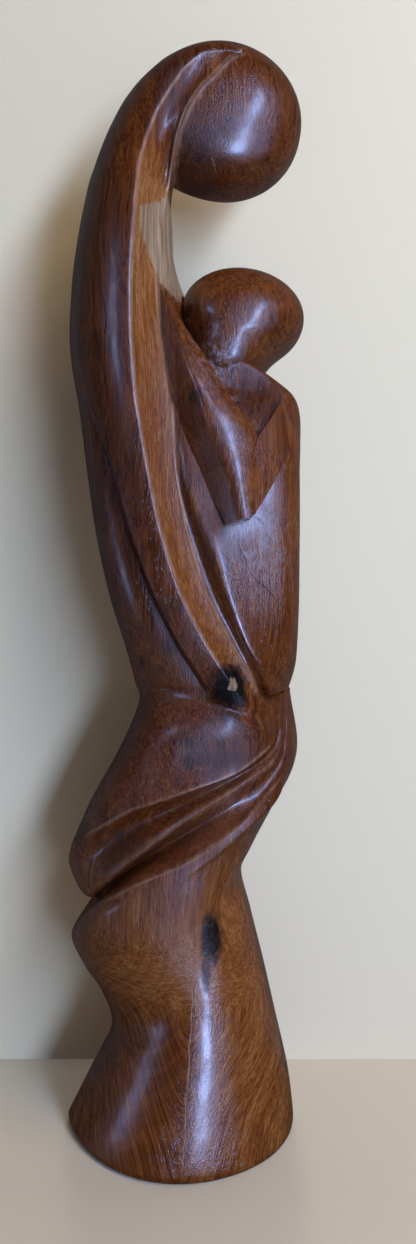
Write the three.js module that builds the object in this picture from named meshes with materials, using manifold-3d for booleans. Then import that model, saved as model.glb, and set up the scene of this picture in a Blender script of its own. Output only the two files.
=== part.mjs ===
// Carved hardwood figure: a hooded mother bows over the child that she holds to her breast.
// It is one piece of wood, so it is one closed solid.
// Millimetres, +Z up, the mother faces +X, and the flat foot stands on Z = 0.

import * as THREE from 'three';
import { mergeVertices } from 'three/addons/utils/BufferGeometryUtils.js';
import Module from 'manifold-3d';

const wasm = await Module();
wasm.setup();

// The driving size is the height. All carving keeps its place as thousandths of it.
const HEIGHT = 480;
const SHARE = HEIGHT / 1000;

// How finely the faceted solid follows the curves.
const TRUNK_ROWS = 58;
const TRUNK_COLUMNS = { back: 6, sleeve: 5, band: 2, breast: 4 };
const SKIRT_ROWS = { hip: 7, folds: 10, foot: 17 };
const SKIRT_COLUMNS = 20;
const CHILD_ROWS = 20;
const CHILD_SIDE_COLUMNS = 4;
const ARM_ROWS = 10;
const HEAD_SEGMENTS = { around: 28, along: 16 };

// A carved place is [forward, up, out]: out is the distance from the middle plane to either side.
const place = ([forward, up, out = 0]) => new THREE.Vector3(forward, out, up);

// A smooth line through a few places, read off at a share of its length in places.
const line = (places) => {
  const curve = new THREE.CatmullRomCurve3(places.map(place), false, 'catmullrom', 0.5);
  return (share) => curve.getPoint(share);
};

// A smooth run of single values, such as angles, along the same share.
const run = (values) => {
  const curve = line(values.map((value) => [value, 0]));
  return (share) => curve(share).x;
};

const steps = (count) => Array.from({ length: count + 1 }, (_, i) => i / count);
const mix = THREE.MathUtils.lerp;
const degrees = THREE.MathUtils.degToRad;
// Rises from 0 to 1 halfway and falls back to 0.
const hump = (t) => 4 * t * (1 - t);

// Turns one half ring, from the middle plane at the back round to the middle plane in front,
// into a whole ring by mirroring what lies between its two ends.
const wholeRing = (half) => {
  const near = half.map((p) => new THREE.Vector3(p.x, -p.y, p.z));
  const far = half.slice(1, -1).reverse();
  return [...near, ...far];
};

// Closed solid through rings of equal length, capped flat at both ends.
function loft(rings) {
  const count = rings[0].length;
  const middle = (ring) => ring.reduce((sum, p) => sum.add(p), new THREE.Vector3()).divideScalar(count);
  const points = [...rings.flat(), middle(rings[0]), middle(rings.at(-1))];
  const startCap = rings.length * count;
  const index = [];
  for (let i = 0; i < count; i += 1) {
    const next = (i + 1) % count;
    for (let row = 0; row < rings.length - 1; row += 1) {
      const a = row * count + i;
      const b = row * count + next;
      index.push(a, a + count, b, b, a + count, b + count);
    }
    const last = startCap - count;
    index.push(startCap, i, next, startCap + 1, last + next, last + i);
  }
  const geometry = new THREE.BufferGeometry().setFromPoints(points);
  geometry.setIndex(index);
  return geometry;
}

// Library solid of a closed geometry, turned right side out if its faces point in.
function solidOf(geometry) {
  geometry.deleteAttribute('normal');
  geometry.deleteAttribute('uv');
  const merged = mergeVertices(geometry, 1e-4);
  const solid = (triVerts) => new wasm.Manifold(new wasm.Mesh({
    numProp: 3,
    vertProperties: new Float32Array(merged.attributes.position.array),
    triVerts: new Uint32Array(triVerts),
  }));
  const triangles = Array.from(merged.index.array);
  const made = solid(triangles);
  return made.volume() > 0 ? made : solid(triangles.reverse());
}

// Mother's hood, back and arms

// Five lines run down the trunk side by side, each from the crown to the lap:
// the back, the sharp edge of the hood and sleeve, the inner edge of that edge's flat band,
// and the breast. A row below gives them at one level.
const TRUNK = [
  { back: [57, 986], edge: [50, 966, 53], inner: [49, 964, 50], front: [48, 972] },
  { back: [33, 996], edge: [35, 966, 57], inner: [38, 955, 55], front: [36, 958] },
  { back: [5, 991], edge: [17, 962, 60], inner: [28, 943, 57], front: [28, 940] },
  { back: [-19, 980], edge: [0, 947, 62], inner: [16, 933, 55], front: [22, 930] },
  { back: [-39, 963], edge: [-13, 929, 62], inner: [5, 920, 49], front: [14, 918] },
  { back: [-57, 944], edge: [-23, 911, 64], inner: [-4, 906, 41], front: [6, 904] },
  { back: [-70, 922], edge: [-31, 889, 68], inner: [-10, 891, 31], front: [-2, 890] },
  { back: [-80, 900], edge: [-36, 869, 73], inner: [-14, 875, 27], front: [-8, 875] },
  { back: [-88, 880], edge: [-39, 849, 77], inner: [-17, 857, 33], front: [-12, 858] },
  { back: [-93, 861], edge: [-40, 832, 80], inner: [-22, 838, 46], front: [-13, 838] },
  { back: [-102, 812], edge: [-42, 800, 84], inner: [-27, 802, 58], front: [-11, 802] },
  { back: [-106, 768], edge: [-44, 766, 86], inner: [-24, 766, 56], front: [-2, 772] },
  { back: [-107, 714], edge: [-44, 712, 87], inner: [-21, 714, 63], front: [20, 714] },
  { back: [-98, 657], edge: [-40, 655, 88], inner: [-11, 655, 70], front: [36, 655] },
  { back: [-91, 600], edge: [-31, 600, 88], inner: [-7, 598, 76], front: [40, 600] },
  { back: [-83, 545], edge: [-20, 545, 87], inner: [2, 545, 79], front: [48, 545] },
  { back: [-71, 490], edge: [-3, 490, 86], inner: [19, 490, 80], front: [62, 490] },
  { back: [-57, 445], edge: [20, 445, 83], inner: [42, 445, 76], front: [80, 445] },
  { back: [-48, 412], edge: [42, 412, 77], inner: [63, 410, 64], front: [86, 412] },
  { back: [-42, 380], edge: [66, 384, 66], inner: [80, 382, 47], front: [88, 380] },
  { back: [-38, 350], edge: [60, 352, 56], inner: [70, 350, 40], front: [76, 350] },
];
// Angle round the trunk, from the back, of the sleeve's rear edge, and how far it stands proud.
const SLEEVE_ANGLE = [40, 40, 40, 40, 40, 40, 40, 40, 40, 40, 38, 35, 33, 41, 58, 65, 70, 72, 74, 72, 70];
const SLEEVE_STEP = [0, 0, 0, 0, 0, 0, 0, 0, 0, 0, 0, 0, 0, 3, 7, 9, 10, 10, 7, 2, 0];
// 0 where the breast swells out from the band's inner edge, 1 where it falls back as a groove.
const BREAST_HOLLOW = [1, 1, 1, 1, 1, 1, 0.8, 0.5, 0.2, 0, 0, 0.3, 0.8, 1, 1, 1, 1, 1, 1, 1, 1];
const BAND_SAG = 2;

function trunk() {
  const along = Object.fromEntries(
    ['back', 'edge', 'inner', 'front'].map((name) => [name, line(TRUNK.map((row) => row[name]))]),
  );
  const sleeveAngle = run(SLEEVE_ANGLE);
  const sleeveStep = run(SLEEVE_STEP);
  const breastHollow = run(BREAST_HOLLOW);

  const halfRing = (share) => {
    const [back, edge, inner, front] = ['back', 'edge', 'inner', 'front'].map((name) => along[name](share));
    const split = degrees(sleeveAngle(share));
    const step = Math.max(sleeveStep(share), 0);
    // The back and sleeve follow a quarter ellipse from the back line to the sharp edge.
    const round = (angle) => {
      const p = back.clone().lerp(edge, 1 - Math.cos(angle));
      p.y = edge.y * Math.sin(angle);
      return p;
    };
    // The back sinks more and more towards the sleeve, which then stands proud of it.
    const backRun = steps(TRUNK_COLUMNS.back).map((t) => {
      const p = round(split * t);
      p.y -= step * t * t;
      return p;
    });
    const sleeveRun = steps(TRUNK_COLUMNS.sleeve).map((t) => round(mix(split, Math.PI / 2, t)));
    const bandRun = steps(TRUNK_COLUMNS.band).slice(1).map((t) => {
      const p = edge.clone().lerp(inner, t);
      p.y -= BAND_SAG * hump(t);
      return p;
    });
    const hollow = breastHollow(share);
    const breastRun = steps(TRUNK_COLUMNS.breast).slice(1).map((t) => {
      const angle = (t * Math.PI) / 2;
      const forward = mix(Math.sin(angle), 1 - Math.cos(angle), hollow);
      const out = mix(Math.cos(angle), 1 - Math.sin(angle), hollow);
      const p = inner.clone().lerp(front, forward);
      p.y = inner.y * out;
      return p;
    });
    return [...backRun, ...sleeveRun, ...bandRun, ...breastRun];
  };
  return loft(steps(TRUNK_ROWS).map((share) => wholeRing(halfRing(share))));
}

// Heads: plain eggs without faces

const MOTHER_HEAD = { centre: [35.3, 931.8], radii: [73.4, 64, 68], nod: 12.1 };
const CHILD_HEAD = { centre: [53.3, 749.7], radii: [56.3, 50, 43.9], nod: 10.8 };

function egg({ centre: [forward, up], radii, nod }) {
  const geometry = new THREE.SphereGeometry(1, HEAD_SEGMENTS.around, HEAD_SEGMENTS.along);
  geometry.scale(...radii);
  geometry.rotateY(degrees(nod));
  return geometry.translate(forward, 0, up);
}

// Child's body: shoulders, straight back and the drawn-up leg

const CHILD = [
  { hidden: [4, 722], groove: [10, 722, 8], ridge: [30, 720, 12], corner: [56, 718, 10], front: [62, 718] },
  { hidden: [0, 700], groove: [6, 698, 12], ridge: [28, 700, 16], corner: [60, 704, 12], front: [69, 704] },
  { hidden: [0, 686], groove: [4, 682, 42], ridge: [28, 685, 50], corner: [68, 691, 40], front: [83, 692] },
  { hidden: [-4, 670], groove: [0, 670, 56], ridge: [24, 672, 62], corner: [80, 676, 49], front: [98, 679] },
  { hidden: [-6, 655], groove: [-3, 655, 60], ridge: [19, 655, 67], corner: [90, 657, 50], front: [106, 658] },
  { hidden: [-12, 625], groove: [-8, 625, 66], ridge: [4, 625, 73], corner: [97, 625, 48], front: [106, 625] },
  { hidden: [-12, 585], groove: [-9, 585, 69], ridge: [2, 585, 76], corner: [98, 585, 46], front: [105, 585] },
  { hidden: [-6, 550], groove: [0, 550, 71], ridge: [16, 550, 80], corner: [97, 550, 45], front: [105, 550] },
  { hidden: [2, 520], groove: [9, 520, 72], ridge: [29, 520, 81], corner: [97, 520, 45], front: [105, 520] },
  { hidden: [14, 485], groove: [21, 485, 72], ridge: [42, 485, 79], corner: [96, 485, 44], front: [105, 485] },
  { hidden: [30, 450], groove: [38, 450, 69], ridge: [56, 450, 74], corner: [95, 450, 42], front: [104, 450] },
  { hidden: [50, 425], groove: [55, 425, 60], ridge: [67, 425, 62], corner: [92, 425, 36], front: [102, 425] },
  { hidden: [68, 408], groove: [68, 408, 40], ridge: [76, 408, 38], corner: [90, 408, 26], front: [97, 408] },
];

// How far the side swells between leg and back, and where the back rounds over towards the middle.
const SIDE_SWELL = 6;
const BACK_ROUND = { forward: 0.8, out: 0.55 };

function childBody() {
  const names = ['hidden', 'groove', 'ridge', 'corner', 'front'];
  const along = names.map((name) => line(CHILD.map((row) => row[name])));
  const halfRing = (share) => {
    const [hidden, groove, ridge, corner, front] = along.map((at) => at(share));
    const side = steps(CHILD_SIDE_COLUMNS).slice(1).map((t) => {
      const p = ridge.clone().lerp(corner, t);
      p.y += SIDE_SWELL * hump(t);
      return p;
    });
    const rounded = new THREE.Vector3(
      mix(corner.x, front.x, BACK_ROUND.forward), corner.y * BACK_ROUND.out, corner.z,
    );
    return [hidden, groove, ridge, ...side, rounded, front];
  };
  return loft(steps(CHILD_ROWS).map((share) => wholeRing(halfRing(share))));
}

// Child's arms: a bent arm on each side, its forearm cut as a ridge with two facets

const ROOT_DEPTH = 24;
const FOREARM = {
  lower: [[36, 548, 88], [24, 575, 86], [11, 602, 83], [-4, 636, 78], [-15, 684, 70], [-22, 728, 63], [-25, 766, 54]],
  facet: [[50, 558, 93], [43, 585, 94], [31, 612, 90], [20, 642, 86], [5, 680, 80], [-10, 722, 69], [-23, 767, 54]],
  crest: [[57, 560, 94], [55, 584, 96], [49, 612, 94], [38, 638, 90], [17, 672, 83], [-4, 720, 70], [-22, 768, 53]],
  upper: [[66, 566, 89], [70, 595, 84], [64, 620, 85], [50, 641, 83], [25, 682, 73], [-2, 728, 59], [-20, 769, 50]],
};
const UPPER_ARM = {
  lower: [[50, 556, 92], [66, 567, 89], [79, 588, 82], [92, 614, 70], [100, 634, 55]],
  crest: [[54, 580, 93], [66, 592, 89], [78, 612, 82], [90, 636, 68], [98, 654, 50]],
  upper: [[52, 612, 90], [62, 622, 87], [72, 636, 77], [81, 650, 66], [88, 667, 50]],
};

function arm(edges, side) {
  const along = Object.values(edges).map(line);
  const rings = steps(ARM_ROWS).map((share) => {
    const outer = along.map((at) => at(share));
    const root = (p) => new THREE.Vector3(p.x, ROOT_DEPTH, p.z);
    const ring = [root(outer[0]), ...outer, root(outer.at(-1))];
    return ring.map((p) => new THREE.Vector3(p.x, side * p.y, p.z));
  });
  return loft(rings);
}

// Skirt: hips, swept folds and the spreading foot

// A fold runs round one side from the front to the back. Both sides are alike.
const HIP_FOLD = [
  [98, 403, 0], [92, 396, 20], [83, 374, 39], [74, 354, 51], [45, 335, 72],
  [0, 319, 82], [-45, 303, 72], [-85, 277, 42], [-107, 257, 0],
];
const RIBBON_HOLLOW = [
  [98, 402, 0], [92, 394, 20], [85, 370, 37], [76, 348, 50], [45, 330, 70],
  [-2, 307, 77], [-46, 284, 66], [-88, 252, 44], [-109, 238, 0],
];
const RIBBON_CREST = [
  [98, 401, 0], [92, 392, 20], [88, 366, 36], [79, 342, 52], [45, 324, 74],
  [0, 296, 81], [-42, 263, 75], [-74, 230, 48], [-90, 209, 0],
];
const CHANNEL = [
  [98, 400.5, 0], [92, 390, 20], [90, 362, 32], [81, 335, 47], [46, 310, 66],
  [3, 284, 65], [-38, 256, 55], [-68, 226, 34], [-82, 206, 0],
];
const SKIRT_FOLD = [
  [98, 400, 0], [92, 388, 20], [93, 357, 32], [84, 326, 50], [50, 292, 73],
  [7, 263, 84], [-38, 242, 76], [-74, 217, 46], [-87, 203, 0],
];
// The swell under the folds is drawn the same way, down the front of the skirt.
const SKIRT_SWELL = [
  [105, 368, 0], [102, 356, 20], [97, 334, 39], [84, 306, 57], [50, 276, 78],
  [6, 248, 90], [-42, 224, 82], [-84, 202, 50], [-99, 192, 0],
];
// Plain levels are ellipses that tilt evenly from the front down to the back.
const HIP_LEVELS = [
  { front: [70, 424], back: [-34, 440], out: 48 },
  { front: [95, 407], back: [-44, 392], out: 67 },
  { front: [99, 405], back: [-63, 346], out: 76 },
  { front: [99, 404], back: [-95, 284], out: 83 },
];
const FOOT_LEVELS = [
  { front: [97, 320], back: [-107, 172], out: 91 },
  { front: [72, 279], back: [-99, 148], out: 88 },
  { front: [52, 238], back: [-84, 121], out: 84 },
  { front: [61, 196], back: [-69, 91], out: 82 },
  { front: [73, 148], back: [-80, 65], out: 87 },
  { front: [84, 100], back: [-91, 44], out: 94 },
  { front: [95, 52], back: [-103, 20], out: 101 },
  { front: [101, 14], back: [-109, 8], out: 105 },
  { front: [102, 3], back: [-110, 3], out: 106 },
  { front: [100, 0], back: [-108, 0], out: 104 },
];
const FRONT_CROWDING = 1.3;

function level({ front, back, out }) {
  return steps(8).map((share) => {
    const angle = Math.PI * share ** FRONT_CROWDING;
    const towardsBack = (1 - Math.cos(angle)) / 2;
    return [mix(front[0], back[0], towardsBack), mix(front[1], back[1], towardsBack), out * Math.sin(angle)];
  });
}

function skirt() {
  // Each stretch is smooth down its length, and the folds between stretches stay sharp.
  const stretches = [
    { rows: SKIRT_ROWS.hip, loops: [...HIP_LEVELS.map(level), HIP_FOLD] },
    { rows: SKIRT_ROWS.folds, loops: [HIP_FOLD, RIBBON_HOLLOW, RIBBON_CREST, CHANNEL, SKIRT_FOLD] },
    { rows: SKIRT_ROWS.foot, loops: [SKIRT_FOLD, SKIRT_SWELL, ...FOOT_LEVELS.map(level)] },
  ];
  const rings = stretches.flatMap(({ rows, loops }, i) => {
    const around = loops.map(line);
    const columns = steps(SKIRT_COLUMNS).reverse().map((share) => {
      const down = around.map((at) => at(share)).map((p) => [p.x, p.z, p.y]);
      return line(down);
    });
    return steps(rows).slice(i === 0 ? 0 : 1).map((share) => wholeRing(columns.map((at) => at(share))));
  });
  return loft(rings);
}

// The whole carving

const figure = [
  trunk(),
  egg(MOTHER_HEAD),
  egg(CHILD_HEAD),
  childBody(),
  ...[-1, 1].flatMap((side) => [arm(FOREARM, side), arm(UPPER_ARM, side)]),
  skirt(),
].map(solidOf).reduce((whole, piece) => whole.add(piece));

const carved = figure.getMesh();
const geometry = new THREE.BufferGeometry();
geometry.setAttribute('position', new THREE.BufferAttribute(new Float32Array(carved.vertProperties), 3));
geometry.setIndex(new THREE.BufferAttribute(new Uint32Array(carved.triVerts), 1));
geometry.scale(SHARE, SHARE, SHARE);
geometry.computeBoundingBox();
const { min, max } = geometry.boundingBox;
geometry.translate(-(min.x + max.x) / 2, -(min.y + max.y) / 2, -min.z);
geometry.computeVertexNormals();

const polishedHardwood = new THREE.MeshStandardMaterial({ color: 0x6b3018, roughness: 0.35, metalness: 0 });
const motherAndChild = new THREE.Mesh(geometry, polishedHardwood);
motherAndChild.name = 'mother_and_child';

const model = new THREE.Group();
model.add(motherAndChild);

export default model;
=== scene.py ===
# Looks of the carved hardwood figure: a hooded mother bowing over the child in her arms.
# Metres, +Z up. The mother faces +X, and the photograph looks at her right side along +Y.

import math

import bpy
import numpy as np
from mathutils import Matrix, Vector


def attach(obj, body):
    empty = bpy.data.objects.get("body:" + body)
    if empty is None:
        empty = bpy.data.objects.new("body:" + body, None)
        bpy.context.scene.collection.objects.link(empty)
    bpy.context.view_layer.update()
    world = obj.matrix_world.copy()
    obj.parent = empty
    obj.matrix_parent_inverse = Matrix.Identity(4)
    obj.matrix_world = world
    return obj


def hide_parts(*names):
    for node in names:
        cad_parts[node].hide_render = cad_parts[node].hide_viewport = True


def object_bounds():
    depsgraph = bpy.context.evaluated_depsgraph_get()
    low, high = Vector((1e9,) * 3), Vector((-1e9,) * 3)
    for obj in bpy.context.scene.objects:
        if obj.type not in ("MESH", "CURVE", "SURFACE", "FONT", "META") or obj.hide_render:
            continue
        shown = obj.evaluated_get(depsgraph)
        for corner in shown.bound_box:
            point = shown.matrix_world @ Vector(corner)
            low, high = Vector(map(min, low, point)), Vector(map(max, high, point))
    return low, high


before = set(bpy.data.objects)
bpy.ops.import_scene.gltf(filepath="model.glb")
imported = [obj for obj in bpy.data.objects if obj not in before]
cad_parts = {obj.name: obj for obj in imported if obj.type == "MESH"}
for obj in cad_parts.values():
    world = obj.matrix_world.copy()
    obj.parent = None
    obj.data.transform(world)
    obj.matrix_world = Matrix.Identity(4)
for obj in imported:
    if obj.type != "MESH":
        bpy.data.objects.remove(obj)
cad_low, cad_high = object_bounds()

# The camera of the photograph
# A phone held close: it stands at less than the figure's height away and half way up, so the
# foot is seen from above and the crown from below.
camera = bpy.data.objects.new("camera", bpy.data.cameras.new("camera"))
camera.data.sensor_width = 36
camera.data.lens = 26
camera.location = (0.0099, -0.405, 0.2232)
camera.rotation_euler = (math.pi / 2, 0, 0)
bpy.context.collection.objects.link(camera)
bpy.context.scene.camera = camera


# The mother's hood, back and sleeves, running down into her skirt
# The outer skin of the log, carved from the crown to the foot in one smooth run. A sharp edge
# frames the hood and sleeve, and two sharp folds sweep round the skirt.

# Carved places are (forward, up, out) in thousandths of the height. Out is the distance from the
# middle plane, and both sides are alike.
THOUSANDTH = (cad_high.z - cad_low.z) / 1000

# One level a row, from the crown to the lap: the back line, the sharp edge, the inner edge of its
# fluted band, the breast line, the angle of the sleeve's rear edge, how far that stands proud, how
# deep the flute and the groove beside its inner edge are, and how far the breast falls back.
TRUNK = [
    ((57, 985), (50, 970, 46), (50, 971, 46), (48, 975), 40, 0, 0, 0, 1.0),
    ((33, 995), (35, 970, 50), (42, 966, 50), (38, 964), 40, 0, 0.5, 0, 1.0),
    ((5, 990), (17, 966, 54), (27, 948, 54), (30, 944), 40, 0, 1, 0, 1.0),
    ((-20, 980.5), (0, 950, 57), (16, 937, 56), (24, 930), 40, 0, 3, 0, 1.0),
    ((-41.5, 964), (-13, 931, 58), (6, 922, 58), (16, 916), 40, 0, 4, 0, 1.0),
    ((-57.5, 944.5), (-23, 912, 61), (0, 909, 58), (9, 901), 40, 0, 4, 1.5, 1.0),
    ((-69.3, 922.5), (-31, 889, 66), (-7, 890, 55), (-6, 884), 40, 0, 3, 7, 1.0),
    ((-78.5, 900.5), (-36, 869, 71.5), (-11, 870, 48), (-13, 870), 40, 0, 1.5, 10, 0.5),
    ((-85.7, 880), (-39, 849, 75.5), (-14, 852, 40), (-14.5, 856), 40, 0, 1, 5, 0.0),
    ((-91.5, 861), (-40, 832, 79.5), (-18, 835, 45), (-13, 838), 40, 0, 1, 2, 0.0),
    ((-101, 812), (-42, 800, 84), (-24, 802, 55), (-11, 802), 38, 0, 1.5, 0, 0.0),
    ((-106, 768), (-44, 766, 86), (-24, 766, 60), (-2, 772), 35, 0, 2, 0, 0.3),
    ((-107, 714), (-44, 712, 87), (-21, 714, 66), (20, 714), 33, 0, 2, 0, 0.8),
    ((-98, 657), (-40, 655, 88), (-11, 655, 68), (36, 655), 41, 5, 2, 0, 1.0),
    ((-91, 600), (-31, 600, 88), (-7, 598, 71), (40, 600), 58, 11, 2, 0, 1.0),
    ((-83, 545), (-20, 545, 87), (2, 545, 72), (48, 545), 65, 15, 2, 0, 1.0),
    ((-71, 490), (-3, 490, 86), (19, 490, 71), (62, 490), 70, 16, 2, 0, 1.0),
    ((-57, 445), (20, 445, 83), (42, 445, 68), (80, 445), 72, 15, 2, 0, 1.0),
    ((-48, 412), (42, 412, 77), (63, 410, 62), (86, 412), 74, 10, 2, 0, 1.0),
]
# Below the sleeves a level is a loop of nine places from the front round one side to the back.
SLEEVE_END = [
    (92, 407, 0), (88, 400, 22), (79, 378, 43), (57, 384, 64), (30, 393, 68),
    (3, 399, 62), (-22, 401, 49), (-38, 396, 28), (-44, 389, 0),
]
UPPER_HIP = [
    (95, 405, 0), (90, 399, 22), (80, 377, 43), (67, 374, 61), (42, 378, 73.5),
    (3, 373, 75), (-31, 366, 62), (-55, 352, 34), (-63, 345, 0),
]
LOWER_HIP = [
    (97, 404, 0), (91, 397, 21), (82, 375, 42), (73, 361, 55.5), (44, 355, 73),
    (1, 345, 77), (-40, 333, 69), (-75, 311, 39), (-88, 300, 0),
]
HIP_FOLD = [
    (98, 403, 0), (92, 396, 20), (83, 374, 40), (75, 355, 54), (46, 336, 77),
    (0, 320, 83), (-45, 304, 74), (-85, 277, 43), (-107, 257, 0),
]
RIBBON_HOLLOW = [
    (98, 402, 0), (92, 394, 20), (85, 370, 36), (76, 349, 48), (45, 331, 67),
    (-2, 308, 69), (-46, 286, 57), (-87, 252, 36), (-109, 238, 0),
]
RIBBON_CREST = [
    (98, 401, 0), (92, 392, 20), (88, 366, 36), (79, 342, 52), (45, 322, 75),
    (0, 295, 80), (-42, 264, 75), (-77, 231, 48), (-96, 212, 0),
]
CHANNEL = [
    (98, 400.7, 0), (92, 390.5, 20), (89.5, 362, 33), (80, 336, 47), (47, 310, 65),
    (1, 280, 61), (-42, 251, 46), (-68, 226, 27), (-81, 206, 0),
]
CHANNEL_LEDGE = [
    (98, 400.4, 0), (92, 389.5, 20), (91, 359, 32), (82, 331, 48), (49, 300, 68),
    (3, 271, 76), (-40, 248, 68), (-70, 222, 40), (-84, 204.5, 0),
]
SKIRT_FOLD = [
    (98, 400, 0), (92, 388, 20), (93, 357, 33), (84, 326, 52), (50, 292, 75.5),
    (7, 264, 87), (-38, 243, 81), (-74, 218, 50), (-87, 203, 0),
]
SKIRT_SWELL = [
    (104, 345, 0), (100, 338, 20), (90.5, 325, 39), (81, 308, 54), (50, 283, 75.8),
    (6, 254, 87.4), (-40, 231, 83), (-80, 206, 54), (-96, 194, 0),
]
# Each of the foot's levels is an oval: its front place, its back place, how far out it reaches, and
# a lead that draws its widest place forward. It is tilted evenly from front to back.
FOOT = [
    ((82, 297), (-107, 172), 88.5, 0.0), ((64, 264), (-96, 147), 89, 0.0),
    ((52, 236), (-79, 121), 85, 0.1), ((61, 196), (-69, 91), 79.5, 0.2),
    ((73, 148), (-80, 65), 85.5, 0.12), ((84, 100), (-91, 44), 93.5, 0.05),
    ((95, 52), (-103, 20), 101, 0.0), ((100, 14), (-109, 8), 104.5, 0.0),
    ((100, 4), (-109.5, 5), 104, 0.0), ((98, 0), (-107, 1), 101.5, 0.0),
]
# An oval's places crowd towards its front, and its rear is slimmer.
FRONT_CROWDING = 1.65
REAR_SLIMMING = 0.35
# The sleeve's rear edge drops to the back within this many degrees, and the hood's groove lies at
# this share of the band's width, with this half width.
STEP_WALL = 1.6
GROOVE_PLACE = (0.80, 0.12)
# Columns of the grid in the back, the sleeve, the band and the breast, the columns of the three
# long edges between them, and where the band's two edges come down to on a loop's nine places.
BACK, SLEEVE, BAND, BREAST = 24, 20, 18, 14
REAR_EDGE = BACK + 1
SHARP_EDGE = REAR_EDGE + SLEEVE
INNER_EDGE = SHARP_EDGE + BAND
EDGE_AT, INNER_AT = 2.5, 2.0
LAST_PLACE = 8
# Rows of the grid for each level, with a few more on the hips.
LEVEL_ROWS, HIP_ROWS = 11, 14


def smooth(places, at, before=None, after=None):
    """Curve that meets places in turn at 0, 1, 2 and so on. Between two of them it is the cubic
    whose end slopes are half the way from the place before to the place after."""
    places = np.asarray(places, float)
    first = 2 * places[0] - places[1] if before is None else before
    last = 2 * places[-1] - places[-2] if after is None else after
    line = np.concatenate([[first], places, [last]])
    i = np.clip(np.floor(at).astype(int), 0, len(places) - 2)
    t = (at - i).reshape(-1, *[1] * (places.ndim - 1))
    a, b, c, d = line[i], line[i + 1], line[i + 2], line[i + 3]
    return b + t / 2 * (c - a + t * (2 * a - 5 * b + 4 * c - d + t * (3 * b - 3 * c + d - a)))


def crowded(count, start=0.0, end=0.0):
    """Shares s from 0 to 1 in count steps, drawn together at an end with a number above 0: less
    start times s times (1 - s) squared, and plus end times s squared times (1 - s)."""
    s = np.linspace(0, 1, count + 1)
    return s - start * (s * (1 - s) ** 2) + end * (s**2 * (1 - s))


def bell(x, middle, width):
    """1 at the middle, falling to nothing a few widths away: e to the minus square of the
    distance over the width."""
    return np.exp(-(((x - middle) / width) ** 2))


def ramp(x, start, end):
    """0 before the start, 1 past the end, and straight between them."""
    return np.clip((x - start) / (end - start), 0, 1)


def trunk_levels(shares_back, shares_sleeve, shares_band, shares_breast):
    """Half level for each row of TRUNK. From the back line to the sharp edge it is a quarter
    ellipse, which sinks with the cube of the share on the way to the sleeve's rear edge. Then a
    band with a parabola's sag and a bell's groove runs to the inner edge, and a quarter ellipse,
    bulging or hollow, runs on to the breast line."""
    back, edge, inner, front = (
        np.array([(*row[k], 0)[:3] for row in TRUNK], float)[:, None] for k in range(4)
    )
    split, step, sag, groove, hollow = (
        np.array([row[k] for row in TRUNK], float)[:, None] for k in range(4, 9)
    )

    def rounded(angle):
        """The quarter ellipse at an angle from the back line."""
        turn = np.radians(angle)[..., None]
        level = back + (edge - back) * (1 - np.cos(turn))
        level[..., 2] = edge[..., 2] * np.sin(turn[..., 0])
        return level

    behind = rounded((split - STEP_WALL) * shares_back)
    behind[..., 2] -= step * shares_back**3
    sleeve = rounded(split + (90 - split) * shares_sleeve)
    band = edge + (inner - edge) * shares_band[:, None]
    band[..., 2] -= sag * 4 * shares_band * (1 - shares_band)
    band[..., 2] -= groove * bell(shares_band, *GROOVE_PLACE)
    turn = np.pi / 2 * shares_breast
    forward = np.sin(turn) + hollow * (1 - np.cos(turn) - np.sin(turn))
    out = np.cos(turn) + hollow * (1 - np.sin(turn) - np.cos(turn))
    breast = inner + (front - inner) * forward[..., None]
    breast[..., 2] = inner[..., 2] * out
    return np.concatenate([behind, sleeve, band, breast], axis=1)


def loop_level(places, at):
    """Half level through nine places, mirrored past both ends so that it crosses the middle
    plane squarely."""
    mirror = np.array((1, 1, -1))
    return smooth(places, at, np.array(places[1]) * mirror, np.array(places[-2]) * mirror)


def foot_level(front, back, out, lead, at):
    """Half oval from front to back: forward and up go with the cosine of the turn, and out with
    its sine, raised to a power that grows backwards, so that the rear is slimmer, and swollen in
    front by the lead."""
    turn = np.pi * (at / LAST_PLACE) ** FRONT_CROWDING
    share = (1 - np.cos(turn)) / 2
    level = np.array(front) + (np.array(back) - np.array(front)) * share[:, None]
    slimmed = np.clip(np.sin(turn), 0, 1) ** (1 + REAR_SLIMMING * share)
    return np.column_stack([level, out * slimmed * (1 + lead * np.cos(turn))])


def soften(grid, weights, rounds, axis):
    """Rounds an edge over: each place moves towards the mean of its two neighbours along the
    axis, by its weight, a few times."""
    for _ in range(rounds):
        mean = (np.roll(grid, 1, axis) + np.roll(grid, -1, axis)) / 2
        grid = grid + (mean - grid) * weights
    return grid


def whole(half, other=None):
    """Rings closed round the figure: the near half, then its mirror image back again, or that of
    the other half if one is given."""
    other = half if other is None else other
    return np.concatenate([half * (1, 1, -1), other[:, -2:0:-1]], axis=1)


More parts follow.
